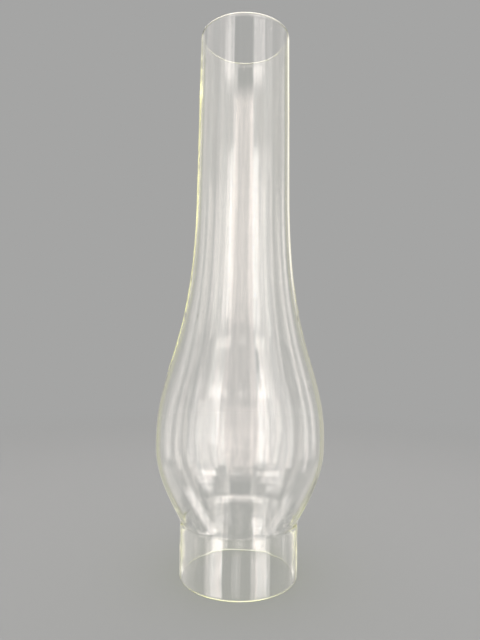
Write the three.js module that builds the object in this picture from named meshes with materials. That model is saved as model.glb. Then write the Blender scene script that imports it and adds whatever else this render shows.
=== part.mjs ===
// Glass chimney of an oil lamp: a straight collar, a round bulge drawn in to a neck, and a long, slightly
// tapering tube, blown in one piece. It stands on its collar, with its axis on +Z and its foot at Z zero.
import * as THREE from 'three';

// Heights, stacked from the foot up.
const COLLAR_HEIGHT = 30.6;
const BULGE_RISE = 44.3;
const NECK_RISE = 136.4;
const TUBE_LENGTH = 93.5;

// Outer diameters at the collar, the widest place of the bulge, the foot of the tube and the mouth.
const COLLAR_DIAMETER = 65.4;
const BULGE_DIAMETER = 94.4;
const TUBE_FOOT_DIAMETER = 53.3;
const MOUTH_DIAMETER = 51.4;

// The glass is thinnest where it was blown out widest.
const COLLAR_WALL = 1.8;
const BULGE_WALL = 1.5;
const TUBE_WALL = 1.8;

// The foot is ground flat with softened edges. The mouth is cut flat, and its edges are melted smooth.
const FOOT_EDGE_RADIUS = 0.5;
const MOUTH_EDGE_RADIUS = 0.3;
const EDGE_LIMIT_SHARE = 0.35;
const CREASE_REACH = 1.4;

// How far each curve's handles reach, as shares of the curve's own rise.
const FLARE_SHARE = 0.58;
const BULGE_UNDER_SHARE = 0.22;
const BULGE_OVER_SHARE = 0.3;
const NECK_SHARE = 0.66;

// How finely the round shapes are cut into facets.
const FACETS_AROUND = 56;
const CREASE_STEPS = 3;
const BULGE_STEPS = 10;
const NECK_STEPS = 13;
const EDGE_STEPS = 3;

const GLASS_COLOUR = 0xdfe6dc;
const GLASS_OPACITY = 0.35;
const GLASS_ROUGHNESS = 0.03;

const FULL_TURN = 2 * Math.PI;
const QUARTER_TURN = FULL_TURN / 4;
const HALF_TURN = FULL_TURN / 2;
const DOWN = (3 / 4) * FULL_TURN;

const CREASE_Z = COLLAR_HEIGHT;
const WIDEST_Z = CREASE_Z + BULGE_RISE;
const TUBE_Z = WIDEST_Z + NECK_RISE;
const TOP_Z = TUBE_Z + TUBE_LENGTH;
const FOOT_EDGE = Math.min(FOOT_EDGE_RADIUS, COLLAR_WALL * EDGE_LIMIT_SHARE);
const MOUTH_EDGE = Math.min(MOUTH_EDGE_RADIUS, TUBE_WALL * EDGE_LIMIT_SHARE);

// Radii of one face of the wall at its four stations. Depth is measured in from the outer face.
function faceRadii(collarDepth, bulgeDepth, tubeDepth) {
  return {
    collar: COLLAR_DIAMETER / 2 - collarDepth,
    bulge: BULGE_DIAMETER / 2 - bulgeDepth,
    tube: TUBE_FOOT_DIAMETER / 2 - tubeDepth,
    mouth: MOUTH_DIAMETER / 2 - tubeDepth,
  };
}

// A place on the wall's section. X is the radius and Y the height.
function place(radius, z) {
  return new THREE.Vector2(radius, z);
}

// One face of the wall from the foot to the mouth: collar, crease, bulge, neck and tube.
function faceLine(radius) {
  const crease = place(radius.collar, CREASE_Z);
  const flare = place(radius.bulge, CREASE_Z + FLARE_SHARE * BULGE_RISE);
  const bulgeStart = flare.clone().sub(crease).setLength(CREASE_REACH).add(crease);
  const widest = place(radius.bulge, WIDEST_Z);
  const tubeFoot = place(radius.tube, TUBE_Z);
  const taper = (radius.tube - radius.mouth) / TUBE_LENGTH;
  const neckHandle = NECK_SHARE * NECK_RISE;
  const creaseCurve = new THREE.QuadraticBezierCurve(
    place(radius.collar, CREASE_Z - CREASE_REACH),
    crease,
    bulgeStart,
  );
  const bulgeCurve = new THREE.CubicBezierCurve(
    bulgeStart,
    flare,
    place(radius.bulge, WIDEST_Z - BULGE_UNDER_SHARE * BULGE_RISE),
    widest,
  );
  const neckCurve = new THREE.CubicBezierCurve(
    widest,
    place(radius.bulge, WIDEST_Z + BULGE_OVER_SHARE * NECK_RISE),
    place(radius.tube + taper * neckHandle, TUBE_Z - neckHandle),
    tubeFoot,
  );
  return [
    place(radius.collar, FOOT_EDGE),
    ...creaseCurve.getPoints(CREASE_STEPS),
    ...bulgeCurve.getPoints(BULGE_STEPS).slice(1),
    ...neckCurve.getPoints(NECK_STEPS).slice(1),
    place(radius.mouth, TOP_Z - MOUTH_EDGE),
  ];
}

// A round edge of the wall from one angle to another, with its two ends.
function edgePoints(centre, radius, startAngle, endAngle) {
  const arc = new THREE.EllipseCurve(centre.x, centre.y, radius, radius, startAngle, endAngle);
  return arc.getPoints(EDGE_STEPS);
}

// The whole section of the wall: outer face, mouth, inner face and foot, back to its first point.
function wallSection() {
  const outer = faceRadii(0, 0, 0);
  const inner = faceRadii(COLLAR_WALL, BULGE_WALL, TUBE_WALL);
  const mouthOutsideCentre = place(outer.mouth - MOUTH_EDGE, TOP_Z - MOUTH_EDGE);
  const mouthInsideCentre = place(inner.mouth + MOUTH_EDGE, TOP_Z - MOUTH_EDGE);
  const footInsideCentre = place(inner.collar + FOOT_EDGE, FOOT_EDGE);
  const footOutsideCentre = place(outer.collar - FOOT_EDGE, FOOT_EDGE);
  const section = [
    ...faceLine(outer),
    ...edgePoints(mouthOutsideCentre, MOUTH_EDGE, 0, QUARTER_TURN).slice(1),
    ...edgePoints(mouthInsideCentre, MOUTH_EDGE, QUARTER_TURN, HALF_TURN).slice(0, -1),
    ...faceLine(inner).reverse(),
    ...edgePoints(footInsideCentre, FOOT_EDGE, HALF_TURN, DOWN).slice(1),
    ...edgePoints(footOutsideCentre, FOOT_EDGE, DOWN, FULL_TURN).slice(0, -1),
  ];
  return [...section, section[0].clone()];
}

function glassMaterial() {
  return new THREE.MeshStandardMaterial({
    color: GLASS_COLOUR,
    roughness: GLASS_ROUGHNESS,
    metalness: 0,
    transparent: true,
    opacity: GLASS_OPACITY,
    side: THREE.DoubleSide,
  });
}

// The section turned about the axis, which a lathe shape has on Y, and stood up on Z.
function glassChimney() {
  const geometry = new THREE.LatheGeometry(wallSection(), FACETS_AROUND);
  const mesh = new THREE.Mesh(geometry, glassMaterial());
  mesh.name = 'glass_chimney';
  mesh.rotation.x = Math.PI / 2;
  return mesh;
}

const oilLampChimney = new THREE.Group();
oilLampChimney.name = 'oil_lamp_chimney';
oilLampChimney.add(glassChimney());

export default oilLampChimney;
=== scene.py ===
from math import comb

import bpy
import numpy as np
from mathutils import Matrix


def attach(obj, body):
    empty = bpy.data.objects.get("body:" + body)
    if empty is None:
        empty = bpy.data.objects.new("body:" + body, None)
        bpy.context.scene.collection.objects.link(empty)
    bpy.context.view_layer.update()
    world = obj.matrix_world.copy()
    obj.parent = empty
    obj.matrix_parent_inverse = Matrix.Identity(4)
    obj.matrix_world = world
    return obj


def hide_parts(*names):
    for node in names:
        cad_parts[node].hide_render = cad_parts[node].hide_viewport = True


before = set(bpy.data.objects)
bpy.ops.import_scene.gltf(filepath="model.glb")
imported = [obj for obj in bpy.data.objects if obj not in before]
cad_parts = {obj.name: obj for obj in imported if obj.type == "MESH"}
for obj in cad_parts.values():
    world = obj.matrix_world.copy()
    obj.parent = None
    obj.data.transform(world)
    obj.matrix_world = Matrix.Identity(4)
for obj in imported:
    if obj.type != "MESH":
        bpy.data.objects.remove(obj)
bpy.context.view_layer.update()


# The chimney is one wall of clear soda-lime glass, blown into a mould and drawn up into its tube, so it
# is thinnest on the bulge. The foot is ground flat with softened edges. The mouth is cut flat, and its
# edges are melted smooth.
MM = 0.001

# Heights, stacked from the foot up, and outer radii.
COLLAR_HEIGHT = 30.6 * MM
BULGE_RISE = 44.3 * MM
NECK_RISE = 136.4 * MM
TUBE_LENGTH = 93.5 * MM
COLLAR_RADIUS = 32.7 * MM
BULGE_RADIUS = 47.2 * MM
TUBE_FOOT_RADIUS = 26.65 * MM
MOUTH_RADIUS = 25.7 * MM

# The wall, its edges, and how far the crease is rounded on the outside and on the inside.
COLLAR_WALL = 1.8 * MM
BULGE_WALL = 1.5 * MM
TUBE_WALL = 1.8 * MM
FOOT_EDGE = 0.5 * MM
MOUTH_EDGE = 0.3 * MM
CREASE_REACH = 1.4 * MM
CREASE_REACH_INSIDE = 3.2 * MM

# How far each curve's handles reach, as shares of the curve's own rise.
FLARE_SHARE = 0.58
BULGE_UNDER_SHARE = 0.22
BULGE_OVER_SHARE = 0.3
NECK_SHARE = 0.66

# How finely the wall is cut, in rows up it and columns round it.
ROWS_ON_COLLAR = 22
ROWS_ON_CREASE = 6
ROWS_ON_BULGE = 44
ROWS_ON_NECK = 70
ROWS_ON_TUBE = 34
ROWS_ON_EDGE = 6
COLUMNS = 256

# Drawing leaves lines along the wall: waves round it, their slope, and how fast they wander with height.
DRAWN_LINES = (2, 3, 5, 7, 11, 16, 23)
DRAWN_LINE_SLOPE = 0.0035
DRAWN_LINE_TWIST = 14.0
DRAWN_LINE_SHIFT_POWER = 8
OUTSIDE_LINES_SEED = 3
INSIDE_LINES_SEED = 8

# The mould leaves ripples, from the collar up to where the bulge swells.
RIPPLES = 9
RIPPLE_SLOPE = 0.012
RIPPLE_SHORTEST = 9 * MM
RIPPLE_LONGEST = 26 * MM
RIPPLES_FADE_FROM = 52 * MM
RIPPLES_FADE_TO = 22 * MM
OUTSIDE_RIPPLES_SEED = 5
INSIDE_RIPPLES_SEED = 6

# The glass is clear with a yellow-green tint, which deepens where the wall is seen along itself and with
# the length that light runs in it.
GLASS_FACE_ON = (0.996, 0.998, 0.99, 1)
GLASS_EDGE_ON = (0.95, 0.97, 0.55, 1)
GLASS_IN_DEPTH = (0.89, 0.91, 0.45, 1)
GLASS_DEPTH_DENSITY = 14
GLASS_TO_LIGHT = (0.975, 0.98, 0.965, 1)
GLASS_INDEX = 1.5


def curve(corners, steps):
    """Points of a Bezier curve: for shares s from 0 to 1, the sum over the corners of
    comb(n, i) * s^i * (1 - s)^(n - i) * corner i, where n is the number of corners less one."""
    s = np.linspace(0, 1, steps + 1)[:, None]
    n = len(corners) - 1
    weights = [comb(n, i) * s**i * (1 - s) ** (n - i) for i in range(n + 1)]
    return sum(w * np.array(corner) for w, corner in zip(weights, corners))


def round_edge(centre, radius, start, end, steps):
    """Points of an arc: centre + radius * (cos a, sin a), for angles a from start to end."""
    a = np.linspace(start, end, steps + 1)
    return np.stack([centre[0] + radius * np.cos(a), centre[1] + radius * np.sin(a)], 1)


def wall_face(collar, bulge, tube, mouth, reach):
    """One face of the wall as radius and height, from the foot's edge up to the mouth's edge: a straight
    collar, a short quadratic curve round the crease, a cubic curve out to the bulge, a cubic curve in
    to the tube, and a straight taper to the mouth. Each cubic's handles are shares of its own rise."""
    crease_z = COLLAR_HEIGHT
    widest_z = crease_z + BULGE_RISE
    tube_z = widest_z + NECK_RISE
    top_z = tube_z + TUBE_LENGTH
    crease = np.array([collar, crease_z])
    flare = np.array([bulge, crease_z + FLARE_SHARE * BULGE_RISE])
    bulge_start = crease + (flare - crease) / np.linalg.norm(flare - crease) * reach
    under_crease = (collar, crease_z - reach)
    under_widest = (bulge, widest_z - BULGE_UNDER_SHARE * BULGE_RISE)
    over_widest = (bulge, widest_z + BULGE_OVER_SHARE * NECK_RISE)
    neck_handle = NECK_SHARE * NECK_RISE
    under_tube = (tube + (tube - mouth) / TUBE_LENGTH * neck_handle, tube_z - neck_handle)
    mouth_edge = (mouth, top_z - MOUTH_EDGE)
    return np.concatenate([
        curve([(collar, FOOT_EDGE), under_crease], ROWS_ON_COLLAR),
        curve([under_crease, crease, bulge_start], ROWS_ON_CREASE)[1:],
        curve([bulge_start, flare, under_widest, (bulge, widest_z)], ROWS_ON_BULGE)[1:],
        curve([(bulge, widest_z), over_widest, under_tube, (tube, tube_z)], ROWS_ON_NECK)[1:],
        curve([(tube, tube_z), mouth_edge], ROWS_ON_TUBE)[1:],
    ])


def wall_section():
    """The closed section of the wall: outer face up, mouth, inner face down, foot. The second result is 1
    on the outer face and 0 on the inner one, and runs from one to the other on the mouth and the foot."""
    outer = wall_face(COLLAR_RADIUS, BULGE_RADIUS, TUBE_FOOT_RADIUS, MOUTH_RADIUS, CREASE_REACH)
    inner = wall_face(COLLAR_RADIUS - COLLAR_WALL, BULGE_RADIUS - BULGE_WALL,
                      TUBE_FOOT_RADIUS - TUBE_WALL, MOUTH_RADIUS - TUBE_WALL, CREASE_REACH_INSIDE)
    top = outer[-1, 1]
    mouth_out = round_edge((MOUTH_RADIUS - MOUTH_EDGE, top), MOUTH_EDGE, 0, 0.5 * np.pi, ROWS_ON_EDGE)
    mouth_in = round_edge((MOUTH_RADIUS - TUBE_WALL + MOUTH_EDGE, top), MOUTH_EDGE,
                          0.5 * np.pi, np.pi, ROWS_ON_EDGE)
    foot_in = round_edge((COLLAR_RADIUS - COLLAR_WALL + FOOT_EDGE, FOOT_EDGE), FOOT_EDGE,
                         np.pi, 1.5 * np.pi, ROWS_ON_EDGE)
    foot_out = round_edge((COLLAR_RADIUS - FOOT_EDGE, FOOT_EDGE), FOOT_EDGE,
                          1.5 * np.pi, 2 * np.pi, ROWS_ON_EDGE)
    mouth = np.concatenate([mouth_out, mouth_in])
    foot = np.concatenate([foot_in, foot_out])
    section = np.concatenate([outer, mouth[1:-1], inner[::-1], foot[1:-1]])
    side = np.concatenate([
        np.ones(len(outer)),
        np.linspace(1, 0, len(mouth))[1:-1],
        np.zeros(len(inner)),
        np.linspace(0, 1, len(foot))[1:-1],
    ])
    return section, side


def drawn_lines(angle, height, radius, seed):
    """How far the face lies inside the true round, in metres: the sum over whole numbers k of
    depth / k * (shift + cos(k * angle + phase + twist * height)), so that each k slopes the face alike.
    The shift is a high power of radius / BULGE_RADIUS: it keeps the face inside the round where that is
    widest, and lets it waver to both sides elsewhere. The twist makes each line wander on its way up."""
    rng = np.random.default_rng(seed)
    shift = (radius / BULGE_RADIUS) ** DRAWN_LINE_SHIFT_POWER
    sunk = 0.0
    for k in DRAWN_LINES:
        phase, lean = rng.uniform(0, 2 * np.pi), rng.uniform(-1, 1)
        depth = DRAWN_LINE_SLOPE * rng.uniform(0.4, 1) / k
        wave = np.cos(k * angle + phase + lean * DRAWN_LINE_TWIST * height)
        sunk = sunk + radius * depth * (shift + wave)
    return sunk


def ripples(angle, height, radius, seed):
    """How far the face lies inside the true round where the mould chilled the glass, in metres: the sum
    of slope * length / 2 pi * (1 + cos(wave + phase)), faded out above the collar, where wave is
    2 pi * sin(lean) * height / length + way * steps * angle. Each wave has its own length, leans to the
    left or the right, and goes a whole number of steps round the wall."""
    rng = np.random.default_rng(seed)
    slope = RIPPLE_SLOPE / np.sqrt(RIPPLES)
    sunk = 0.0
    for length in np.linspace(RIPPLE_SHORTEST, RIPPLE_LONGEST, RIPPLES):
        lean, phase = rng.uniform(0.2, 0.9) * np.pi / 2, rng.uniform(0, 2 * np.pi)
        way = rng.choice([-1, 1])
        steps = np.round(2 * np.pi * COLLAR_RADIUS * np.cos(lean) / length)
        wave = 2 * np.pi * np.sin(lean) * height / length + way * steps * angle
        sunk = sunk + slope * length / (2 * np.pi) * (1 + np.cos(wave + phase))
    fade = np.clip((RIPPLES_FADE_FROM - height) / (RIPPLES_FADE_FROM - RIPPLES_FADE_TO), 0, 1)
    return sunk * fade**2 * (3 - 2 * fade)


def blown_glass(name):
    """The section turned about the axis: x = r * cos a, y = r * sin a, z = height. On the outer face r is
    the section's radius less the drawn lines and ripples, and on the inner face it is the radius and
    theirs. The grid closes on itself both ways."""
    section, side = wall_section()
    turn = np.linspace(0, 2 * np.pi, COLUMNS, endpoint=False)
    a, row = np.meshgrid(turn, np.arange(len(section)), indexing="ij")
    radius, height = section[row, 0], section[row, 1]
    outside = (drawn_lines(a, height, radius, OUTSIDE_LINES_SEED)
               + ripples(a, height, radius, OUTSIDE_RIPPLES_SEED))
    inside = (drawn_lines(a, height, radius, INSIDE_LINES_SEED)
              + ripples(a, height, radius, INSIDE_RIPPLES_SEED))
    share = side[row]
    r = radius - share * outside + (1 - share) * inside
    verts = np.stack([r * np.cos(a), r * np.sin(a), height], -1).reshape(-1, 3)
    columns, rows = a.shape
    i, j = np.meshgrid(np.arange(columns), np.arange(rows), indexing="ij")
    i2, j2 = (i + 1) % columns, (j + 1) % rows
    quads = np.stack([i * rows + j, i2 * rows + j, i2 * rows + j2, i * rows + j2], -1).reshape(-1, 4)
    mesh = bpy.data.meshes.new(name)
    mesh.from_pydata(verts.tolist(), [], quads.tolist())
    mesh.polygons.foreach_set("use_smooth", np.ones(len(quads), bool))
    mesh.update()
    piece = bpy.data.objects.new(name, mesh)
    bpy.context.scene.collection.objects.link(piece)
    return piece


def lamp_glass():
    """Clear glass with a faint yellow-green tint that grows with depth. Fine drawn lines, seeds and the
    haze of handling come from noise in the piece's own space, stretched along the axis."""
    material = bpy.data.materials.new("lamp_glass")
    material.use_nodes = True
    tree = material.node_tree
    nodes, links = tree.nodes, tree.links
    glass = nodes["Principled BSDF"]
    out = nodes["Material Output"]

    # The tint on the face, which deepens where the wall is seen along itself.
    edge = nodes.new("ShaderNodeLayerWeight")
    along_wall = nodes.new("ShaderNodeMapRange")
    along_wall.interpolation_type = "SMOOTHSTEP"
    along_wall.inputs["From Min"].default_value = 0.66
    along_wall.inputs["From Max"].default_value = 0.88
    links.new(edge.outputs["Facing"], along_wall.inputs["Value"])
    colour = nodes.new("ShaderNodeMix")
    colour.data_type = "RGBA"
    colour.inputs["A"].default_value = GLASS_FACE_ON
    colour.inputs["B"].default_value = GLASS_EDGE_ON
    links.new(along_wall.outputs["Result"], colour.inputs["Factor"])
    links.new(colour.outputs["Result"], glass.inputs["Base Color"])
    glass.inputs["Transmission Weight"].default_value = 1
    glass.inputs["IOR"].default_value = GLASS_INDEX

    # Fine drawn lines, far longer than they are wide.
    place = nodes.new("ShaderNodeTexCoord")
    along = nodes.new("ShaderNodeMapping")
    along.inputs["Scale"].default_value = (1, 1, 0.04)
    links.new(place.outputs["Object"], along.inputs["Vector"])

    striae = nodes.new("ShaderNodeTexNoise")
    striae.inputs["Scale"].default_value = 160
    striae.inputs["Detail"].default_value = 3
    striae.inputs["Roughness"].default_value = 0.45
    links.new(along.outputs["Vector"], striae.inputs["Vector"])

    # A few seeds, which are small bubbles that drawing has stretched.
    drawn = nodes.new("ShaderNodeMapping")
    drawn.inputs["Scale"].default_value = (1, 1, 0.35)
    links.new(place.outputs["Object"], drawn.inputs["Vector"])
    seeds = nodes.new("ShaderNodeTexVoronoi")
    seeds.inputs["Scale"].default_value = 60
    links.new(drawn.outputs["Vector"], seeds.inputs["Vector"])
    seed = nodes.new("ShaderNodeMapRange")
    seed.interpolation_type = "SMOOTHSTEP"
    seed.inputs["From Min"].default_value = 0.045
    seed.inputs["From Max"].default_value = 0.015
    links.new(seeds.outputs["Distance"], seed.inputs["Value"])

    # Both bend the surface a little.
    lines = nodes.new("ShaderNodeBump")
    lines.inputs["Strength"].default_value = 0.35
    lines.inputs["Distance"].default_value = 0.2 * MM
    links.new(striae.outputs["Fac"], lines.inputs["Height"])
    bubbles = nodes.new("ShaderNodeBump")
    bubbles.inputs["Strength"].default_value = 0.6
    bubbles.inputs["Distance"].default_value = 0.3 * MM
    links.new(seed.outputs["Result"], bubbles.inputs["Height"])
    links.new(lines.outputs["Normal"], bubbles.inputs["Normal"])
    links.new(bubbles.outputs["Normal"], glass.inputs["Normal"])

    # The haze of handling, in soft smears, and the foot, which is ground dull where it stands.
    smears = nodes.new("ShaderNodeTexNoise")
    smears.inputs["Scale"].default_value = 45
    smears.inputs["Detail"].default_value = 5
    links.new(drawn.outputs["Vector"], smears.inputs["Vector"])
    haze = nodes.new("ShaderNodeMapRange")
    haze.inputs["From Min"].default_value = 0.5
    haze.inputs["From Max"].default_value = 0.75
    haze.inputs["To Max"].default_value = 0.05
    links.new(smears.outputs["Fac"], haze.inputs["Value"])
    up = nodes.new("ShaderNodeSeparateXYZ")
    links.new(place.outputs["Object"], up.inputs["Vector"])
    ground = nodes.new("ShaderNodeMapRange")
    ground.interpolation_type = "SMOOTHSTEP"
    ground.inputs["From Min"].default_value = 0.45 * MM
    ground.inputs["From Max"].default_value = 0.15 * MM
    ground.inputs["To Max"].default_value = 0.45
    links.new(up.outputs["Z"], ground.inputs["Value"])
    rough = nodes.new("ShaderNodeMath")
    rough.operation = "MAXIMUM"
    links.new(haze.outputs["Result"], rough.inputs[0])
    links.new(ground.outputs["Result"], rough.inputs[1])
    links.new(rough.outputs["Value"], glass.inputs["Roughness"])

    # Light on its way to the floor goes straight through, so the chimney casts a pale shadow.
    path = nodes.new("ShaderNodeLightPath")
    lighting = nodes.new("ShaderNodeMath")
    lighting.operation = "MAXIMUM"
    links.new(path.outputs["Is Shadow Ray"], lighting.inputs[0])
    links.new(path.outputs["Is Diffuse Ray"], lighting.inputs[1])
    clear = nodes.new("ShaderNodeBsdfTransparent")
    clear.inputs["Color"].default_value = GLASS_TO_LIGHT
    shade = nodes.new("ShaderNodeMixShader")
    links.new(lighting.outputs["Value"], shade.inputs["Fac"])
    links.new(glass.outputs["BSDF"], shade.inputs[1])
    links.new(clear.outputs["BSDF"], shade.inputs[2])
    links.new(shade.outputs["Shader"], out.inputs["Surface"])

    # The tint in the depth of the wall, which shows at the rims and down both sides.
    tint = nodes.new("ShaderNodeVolumeAbsorption")
    tint.inputs["Color"].default_value = GLASS_IN_DEPTH
    tint.inputs["Density"].default_value = GLASS_DEPTH_DENSITY
    links.new(tint.outputs["Volume"], out.inputs["Volume"])
    return material


chimney = blown_glass("blown_chimney")
chimney.data.materials.append(lamp_glass())
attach(chimney, "root")
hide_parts("glass_chimney")


# The stage is a plain pale floor that runs out into a background of the same pale grey. The floor takes
# the chimney's shadow near the foot and turns into the background further out, so that no edge shows.
PALE = (0.376, 0.376, 0.372)
FLOOR_REACH = 6.0
FLOOR_CLEAR_FROM = 0.25
FLOOR_CLEAR_TO = 0.7
ANY_MIRRORING = 0.5


def mirrored_ray(tree):
    """1 for a ray that the glass has mirrored at least once on its way, and 0 for any other."""
    path = tree.nodes.new("ShaderNodeLightPath")
    mirrored = tree.nodes.new("ShaderNodeMath")
    mirrored.operation = "GREATER_THAN"
    mirrored.inputs[1].default_value = ANY_MIRRORING
    tree.links.new(path.outputs["Glossy Depth"], mirrored.inputs[0])
    return mirrored.outputs["Value"]


def pale_floor():
    """A flat square at height zero, shaded as the lit floor near the axis and as the background beyond.
    Mirrored rays go through it, because what the glass mirrors from below is the screen."""
    corners = np.array([(-1, -1, 0), (1, -1, 0), (1, 1, 0), (-1, 1, 0)]) * FLOOR_REACH
    mesh = bpy.data.meshes.new("floor")
    mesh.from_pydata(corners.tolist(), [], [(0, 1, 2, 3)])
    floor = bpy.data.objects.new("floor", mesh)
    bpy.context.scene.collection.objects.link(floor)
    material = bpy.data.materials.new("pale_floor")
    material.use_nodes = True
    nodes, links = material.node_tree.nodes, material.node_tree.links
    lit = nodes["Principled BSDF"]
    lit.inputs["Base Color"].default_value = (*PALE, 1)
    lit.inputs["Roughness"].default_value = 0.8
    lit.inputs["Specular IOR Level"].default_value = 0.2
    far = nodes.new("ShaderNodeEmission")
    far.inputs["Color"].default_value = (*PALE, 1)
    place = nodes.new("ShaderNodeTexCoord")
    reach = nodes.new("ShaderNodeVectorMath")
    reach.operation = "LENGTH"
    share = nodes.new("ShaderNodeMapRange")
    share.interpolation_type = "SMOOTHSTEP"
    share.inputs["From Min"].default_value = FLOOR_CLEAR_FROM
    share.inputs["From Max"].default_value = FLOOR_CLEAR_TO
    outward = nodes.new("ShaderNodeMixShader")
    links.new(place.outputs["Object"], reach.inputs[0])
    links.new(reach.outputs["Value"], share.inputs["Value"])
    links.new(share.outputs["Result"], outward.inputs["Fac"])
    links.new(lit.outputs["BSDF"], outward.inputs[1])
    links.new(far.outputs["Emission"], outward.inputs[2])
    through = nodes.new("ShaderNodeBsdfTransparent")
    seen = nodes.new("ShaderNodeMixShader")
    links.new(mirrored_ray(material.node_tree), seen.inputs["Fac"])
    links.new(outward.outputs["Shader"], seen.inputs[1])
    links.new(through.outputs["BSDF"], seen.inputs[2])
    links.new(seen.outputs["Shader"], nodes["Material Output"].inputs["Surface"])
    mesh.materials.append(material)


pale_floor()


# The light is one large soft box overhead and the plain light of the room. What the glass mirrors is a
# round screen about it, lit in soft patches as the walls and windows of a room are. The screen lights
# nothing and hides nothing: only what the glass mirrors shows it.
SCREEN_RADIUS = 1.0
SCREEN_MIDDLE = 0.15
SCREEN_COLUMNS = 96
SCREEN_ROWS = 59
SCREEN_CAPS_FROM = 87
ROOM_LIGHT = 0.5
BOX_SIZE = 0.9
BOX_WATTS = 9.0
BOX_PLACE = (0, -0.1, 1.3)

# The front panel is cream. The rest of the screen runs from cream to a cooler white.
CREAM = (1.0, 0.88, 0.84)
COOL = (0.95, 0.93, 0.91)
PANEL_ACROSS = (-28, 23)
PANEL_UPWARD = (-24, 34)

# Each patch has its name, its azimuth from and to, its elevation from and to, how soft it is across and
# upward, and its radiance, which adds to that of the others. The angles are in degrees. The walls and
# strips make the upright bands on the tube and the bulge, and what lies low makes the fans and sweeps
# under the bulge and the strips on the collar. The two glints show on the near edge of the mouth.
PATCHES = (
    ("front_panel", (-28, 23), (-13, 33.5), 0.8, 1.5, 2.25),
    ("front_panel_foot", (-28, 23), (-22.5, -13), 0.8, 1.5, 1.6),
    ("front_panel_top", (-28, 23), (33.5, 46), 1, 1.5, 0.3),
    ("front_panel_left_side", (-28, -19), (-20, 20), 3, 3, 0.5),
    ("front_panel_right_side", (13, 23), (-20, 20), 3, 3, 0.8),
    ("front_panel_upper_left_side", (-26, -19), (20, 32), 1.5, 2, 1.3),
    ("front_panel_upper_right_side", (14, 25), (18, 32), 1.5, 2, 1.4),
    ("front_low", (-28, 23), (-40, -22.5), 1, 2, 0.5),
    ("left_wall", (-69, -28), (-25, 22), 0.8, 1.5, 2.4),
    ("right_wall", (23, 73), (-25, 27), 0.8, 1.5, 2.4),
    ("left_upper_wall", (-69, -28), (22, 46), 1, 1.5, 1.6),
    ("right_upper_wall", (23, 73), (27, 46), 1, 1.5, 1.5),
    ("left_strip", (-40.5, -28), (-11, 25.5), 0.8, 1.5, 2.4),
    ("right_strip", (24, 37), (-20, 26.5), 0.8, 1.5, 2.1),
    ("left_strip_edge", (-46, -40.5), (-20, 20), 1, 2, 0.7),
    ("right_strip_edge", (40, 49), (-12, 24), 1, 2, 0.6),
    ("left_stripe", (-67, -60), (-20, 20), 1, 2, 0.9),
    ("right_stripe", (63, 70), (-18, 20), 1, 2, 0.7),
    ("left_high_window", (-52, -26), (35, 46), 2, 1.5, 2.2),
    ("right_high_window", (20, 50), (34.5, 46), 2, 1.5, 1.9),
    ("left_side_wall", (-118, -69), (-22, 20), 1.5, 3, 0.7),
    ("right_side_wall", (73, 118), (-20, 20), 1.5, 3, 0.8),
    ("left_upper_side_wall", (-118, -69), (20, 47), 1.5, 3, 0.9),
    ("right_upper_side_wall", (73, 118), (20, 47), 1.5, 3, 0.7),
    ("left_side_stripe", (-92, -83), (-28, 22), 1.5, 3, 1.0),
    ("left_far_stripe", (-112, -103), (-20, 20), 1.5, 3, 1.0),
    ("right_side_stripe", (91, 99), (-28, 20), 1.5, 3, 1.3),
    ("right_far_stripe", (108, 115), (-16, 22), 1.5, 3, 0.8),
    ("left_back_wall", (-200, -118), (2, 50), 2, 3, 0.15),
    ("right_back_wall", (118, 200), (2, 50), 2, 3, 0.15),
    ("left_back_window", (-162, -144), (10, 50), 1.5, 4, 0.2),
    ("right_back_window", (144, 162), (10, 50), 1.5, 4, 0.6),
    ("left_back_foot", (-200, -118), (-40, 2), 2, 3, 0.15),
    ("right_back_foot", (118, 200), (-40, 2), 2, 3, 0.15),
    ("left_fan_top", (-64, -32), (-34, -25), 3, 1.5, 2.9),
    ("left_fan", (-61, -37), (-41, -34), 3, 1.5, 3.8),
    ("left_fan_foot", (-57, -42), (-49, -41), 4, 4, 3.6),
    ("left_fan_strip", (-52, -30), (-33, -27.5), 2, 2, 3.2),
    ("right_fan_top", (33, 62), (-34, -25), 3, 1.5, 2.3),
    ("right_fan", (30, 62), (-41, -34), 4, 1.5, 2.8),
    ("right_fan_foot", (42, 66), (-49, -41), 5, 4, 2.6),
    ("right_fan_strip", (22, 55), (-33, -27.5), 2, 2, 3.3),
    ("fan_middle", (-12, 5), (-33, -28), 1, 1, 1.0),
    ("left_low_wall", (-130, -63), (-44, -24), 4, 3, 0.5),
    ("right_low_wall", (66, 130), (-44, -22), 4, 3, 0.3),
    ("low_arc", (-44, 44), (-59, -54.5), 4, 1, 2.2),
    ("low_front", (-66, -20), (-74, -56), 5, 2, 0.9),
    ("low_right", (36, 80), (-74, -54), 5, 2, 1.4),
    ("left_sweep", (-98, -77), (-74, -44), 3, 4, 2.8),
    ("right_sweep", (84, 108), (-72, -47), 5, 4, 1.5),
    ("left_rim_glint", (-200, -168), (-33, -25), 2, 2, 2.3),
    ("right_rim_glint", (168, 200), (-33, -25), 2, 2, 2.3),
    ("left_low_back", (-200, -150), (-85, -42), 5, 4, 0.7),
    ("right_low_back", (150, 200), (-85, -42), 5, 4, 1.0),
    ("ceiling", (-200, 200), (46, 100), 3, 2, 4.5),
    ("underside", (-200, 200), (-100, -84), 3, 5, 3.0),
)


def smooth_step(tree, value, start, end, top=1.0):
    """A value that rises smoothly from 0 to top as the input goes from start to end."""
    step = tree.nodes.new("ShaderNodeMapRange")
    step.interpolation_type = "SMOOTHSTEP"
    step.inputs["From Min"].default_value = start
    step.inputs["From Max"].default_value = end
    step.inputs["To Max"].default_value = top
    tree.links.new(value, step.inputs["Value"])
    return step.outputs["Result"]


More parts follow.
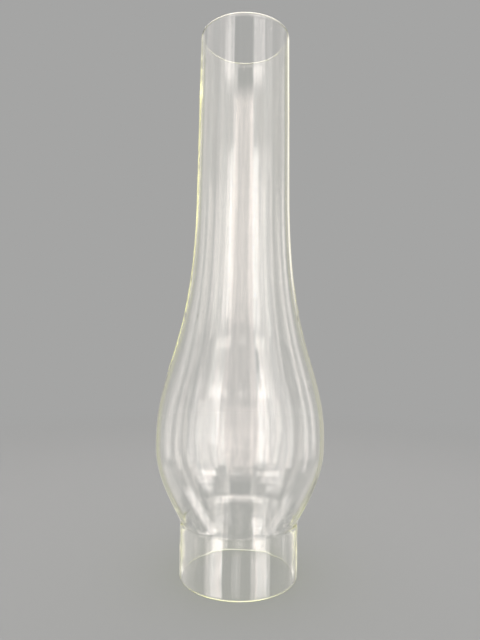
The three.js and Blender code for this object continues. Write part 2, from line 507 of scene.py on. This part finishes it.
def joined(tree, operation, values):
    """Some values put together two by two, such as their sum, product or largest."""
    total = values[0]
    for value in values[1:]:
        both = tree.nodes.new("ShaderNodeMath")
        both.operation = operation
        tree.links.new(total, both.inputs[0])
        tree.links.new(value, both.inputs[1])
        total = both.outputs["Value"]
    return total


def patch_of_light(tree, azimuth, elevation, across, upward, soft_across, soft_upward, radiance):
    """The product of two smooth steps across and two upward, with the angles given in degrees."""
    a0, a1, soft_a = np.radians((*across, soft_across))
    e0, e1, soft_e = np.radians((*upward, soft_upward))
    return joined(tree, "MULTIPLY", [
        smooth_step(tree, azimuth, a0 - soft_a, a0 + soft_a, radiance),
        smooth_step(tree, azimuth, a1 + soft_a, a1 - soft_a),
        smooth_step(tree, elevation, e0 - soft_e, e0 + soft_e),
        smooth_step(tree, elevation, e1 + soft_e, e1 - soft_e),
    ])


def upright_bands(tree, vector, scale, low, high):
    """Soft bands that run up and down, worth from low to high."""
    upright = tree.nodes.new("ShaderNodeMapping")
    upright.inputs["Scale"].default_value = (1, 1, 0.1)
    tree.links.new(vector, upright.inputs["Vector"])
    bands = tree.nodes.new("ShaderNodeTexNoise")
    bands.inputs["Scale"].default_value = scale
    bands.inputs["Detail"].default_value = 4
    bands.inputs["Roughness"].default_value = 0.8
    tree.links.new(upright.outputs["Vector"], bands.inputs["Vector"])
    spread = tree.nodes.new("ShaderNodeMapRange")
    spread.inputs["From Min"].default_value = 0.3
    spread.inputs["From Max"].default_value = 0.7
    spread.inputs["To Min"].default_value = low
    spread.inputs["To Max"].default_value = high
    tree.links.new(bands.outputs["Fac"], spread.inputs["Value"])
    return spread.outputs["Result"]


def screen_light():
    """The screen's light, from the angles of its place about its own middle: azimuth = atan2(x, -y), from
    the camera's side, and elevation = asin(z). Each patch is the product of two smooth steps across and
    two upward, and their sum is banded and tinted. Any ray that isn't mirrored goes straight through."""
    material = bpy.data.materials.new("screen_light")
    material.use_nodes = True
    material.cycles.emission_sampling = "NONE"
    tree = material.node_tree
    nodes, links = tree.nodes, tree.links
    nodes.remove(nodes["Principled BSDF"])
    place = nodes.new("ShaderNodeTexCoord")
    about = nodes.new("ShaderNodeVectorMath")
    about.operation = "SUBTRACT"
    about.inputs[1].default_value = (0, 0, SCREEN_MIDDLE)
    links.new(place.outputs["Object"], about.inputs[0])
    way = nodes.new("ShaderNodeVectorMath")
    way.operation = "NORMALIZE"
    links.new(about.outputs["Vector"], way.inputs[0])
    axes = nodes.new("ShaderNodeSeparateXYZ")
    links.new(way.outputs["Vector"], axes.inputs["Vector"])
    towards = nodes.new("ShaderNodeMath")
    towards.operation = "MULTIPLY"
    towards.inputs[1].default_value = -1
    links.new(axes.outputs["Y"], towards.inputs[0])
    azimuth = nodes.new("ShaderNodeMath")
    azimuth.operation = "ARCTAN2"
    links.new(axes.outputs["X"], azimuth.inputs[0])
    links.new(towards.outputs["Value"], azimuth.inputs[1])
    elevation = nodes.new("ShaderNodeMath")
    elevation.operation = "ARCSINE"
    links.new(axes.outputs["Z"], elevation.inputs[0])

    patches = []
    for name, across, upward, soft_across, soft_upward, radiance in PATCHES:
        patch = patch_of_light(tree, azimuth.outputs["Value"], elevation.outputs["Value"],
                               across, upward, soft_across, soft_upward, radiance)
        patch.node.label = name
        patches.append(patch)
    bands = upright_bands(tree, way.outputs["Vector"], scale=7, low=0.5, high=1.5)
    bright = joined(tree, "MULTIPLY", [joined(tree, "ADD", patches), bands])
    shade = nodes.new("ShaderNodeMix")
    shade.data_type = "RGBA"
    shade.inputs["A"].default_value = (*CREAM, 1)
    shade.inputs["B"].default_value = (*COOL, 1)
    panel = patch_of_light(tree, azimuth.outputs["Value"], elevation.outputs["Value"],
                           PANEL_ACROSS, PANEL_UPWARD, soft_across=1, soft_upward=2, radiance=1)
    beside = nodes.new("ShaderNodeMath")
    beside.operation = "SUBTRACT"
    beside.inputs[0].default_value = 1
    links.new(panel, beside.inputs[1])
    coolness = upright_bands(tree, way.outputs["Vector"], scale=8, low=0, high=1)
    links.new(joined(tree, "MULTIPLY", [coolness, beside.outputs["Value"]]), shade.inputs["Factor"])
    lit = nodes.new("ShaderNodeVectorMath")
    lit.operation = "SCALE"
    links.new(shade.outputs["Result"], lit.inputs[0])
    links.new(bright, lit.inputs["Scale"])
    total = nodes.new("ShaderNodeVectorMath")
    total.inputs[1].default_value = PALE
    links.new(lit.outputs["Vector"], total.inputs[0])
    glow = nodes.new("ShaderNodeEmission")
    links.new(total.outputs["Vector"], glow.inputs["Color"])
    through = nodes.new("ShaderNodeBsdfTransparent")
    seen = nodes.new("ShaderNodeMixShader")
    links.new(mirrored_ray(tree), seen.inputs["Fac"])
    links.new(through.outputs["BSDF"], seen.inputs[1])
    links.new(glow.outputs["Emission"], seen.inputs[2])
    links.new(seen.outputs["Shader"], nodes["Material Output"].inputs["Surface"])
    return material


def mirrored_screen():
    """A ball about the glass: x = r cos e sin a, y = -r cos e cos a, z = middle + r sin e, for azimuths a
    all round and elevations e between two small flat caps."""
    turn = np.linspace(0, 2 * np.pi, SCREEN_COLUMNS, endpoint=False)
    lift = np.radians(np.linspace(-SCREEN_CAPS_FROM, SCREEN_CAPS_FROM, SCREEN_ROWS))
    a, e = np.meshgrid(turn, lift, indexing="ij")
    across = SCREEN_RADIUS * np.cos(e)
    height = SCREEN_MIDDLE + SCREEN_RADIUS * np.sin(e)
    verts = np.stack([across * np.sin(a), -across * np.cos(a), height], -1).reshape(-1, 3)
    columns, rows = a.shape
    i, j = np.meshgrid(np.arange(columns), np.arange(rows - 1), indexing="ij")
    i2 = (i + 1) % columns
    quads = np.stack([i * rows + j, i2 * rows + j, i2 * rows + j + 1, i * rows + j + 1], -1)
    bottom = np.arange(columns) * rows
    caps = [bottom.tolist(), (bottom + rows - 1).tolist()]
    mesh = bpy.data.meshes.new("mirrored_screen")
    mesh.from_pydata(verts.tolist(), [], quads.reshape(-1, 4).tolist() + caps)
    mesh.materials.append(screen_light())
    screen = bpy.data.objects.new("mirrored_screen", mesh)
    bpy.context.scene.collection.objects.link(screen)


def plain_room():
    """The world: plain white light on what it lights, and the pale background for what looks at it."""
    world = bpy.data.worlds.new("studio")
    world.use_nodes = True
    nodes, links = world.node_tree.nodes, world.node_tree.links
    light = nodes["Background"]
    light.inputs["Color"].default_value = (1, 1, 1, 1)
    light.inputs["Strength"].default_value = ROOM_LIGHT
    pale = nodes.new("ShaderNodeBackground")
    pale.inputs["Color"].default_value = (*PALE, 1)
    path = nodes.new("ShaderNodeLightPath")
    looks = [path.outputs[ray] for ray in ("Is Camera Ray", "Is Glossy Ray", "Is Transmission Ray")]
    mix = nodes.new("ShaderNodeMixShader")
    links.new(joined(world.node_tree, "MAXIMUM", looks), mix.inputs["Fac"])
    links.new(light.outputs["Background"], mix.inputs[1])
    links.new(pale.outputs["Background"], mix.inputs[2])
    links.new(mix.outputs["Shader"], nodes["World Output"].inputs["Surface"])
    return world


def overhead_box():
    """The soft box above the chimney, which lights the floor and casts the shadow."""
    lamp = bpy.data.lights.new("overhead", "AREA")
    lamp.size = BOX_SIZE
    lamp.energy = BOX_WATTS
    box = bpy.data.objects.new("overhead", lamp)
    box.location = BOX_PLACE
    bpy.context.scene.collection.objects.link(box)


scene = bpy.context.scene
scene.world = plain_room()
overhead_box()
mirrored_screen()


# The camera stands where the photograph was taken from: a 27 mm equivalent lens, level with the bulge's
# shoulder, tipped up a little and rolled by under one degree.
CAMERA_PLACE = (-0.858 * MM, -284.6 * MM, 127.0 * MM)
PITCH = np.radians(2.76)
ROLL = np.radians(0.804)
FOCAL_PIXELS = 499
FRAME_HEIGHT_PIXELS = 640
SENSOR = 36.0
NEAREST_SEEN = 10 * MM

lens = bpy.data.cameras.new("camera")
lens.sensor_width = SENSOR
lens.lens = SENSOR * FOCAL_PIXELS / FRAME_HEIGHT_PIXELS
lens.clip_start = NEAREST_SEEN
camera = bpy.data.objects.new("camera", lens)
scene.collection.objects.link(camera)
scene.camera = camera
ahead = np.array([0, np.cos(PITCH), np.sin(PITCH)])
level_right = np.array([1.0, 0, 0])
level_up = np.cross(level_right, ahead)
right = np.cos(ROLL) * level_right + np.sin(ROLL) * level_up
up = -np.sin(ROLL) * level_right + np.cos(ROLL) * level_up
turn = Matrix([[*row] for row in np.stack([right, up, -ahead], 1)]).to_4x4()
camera.matrix_world = Matrix.Translation(CAMERA_PLACE) @ turn

scene.view_settings.view_transform = "Standard"

# Light that runs round inside the wall is mirrored many times before it leaves, and that lights the rims
# and both sides, so the bounces are many.
scene.cycles.max_bounces = 96
scene.cycles.transmission_bounces = 32
scene.cycles.glossy_bounces = 64
scene.cycles.transparent_max_bounces = 16
scene.cycles.caustics_reflective = False
scene.cycles.caustics_refractive = False
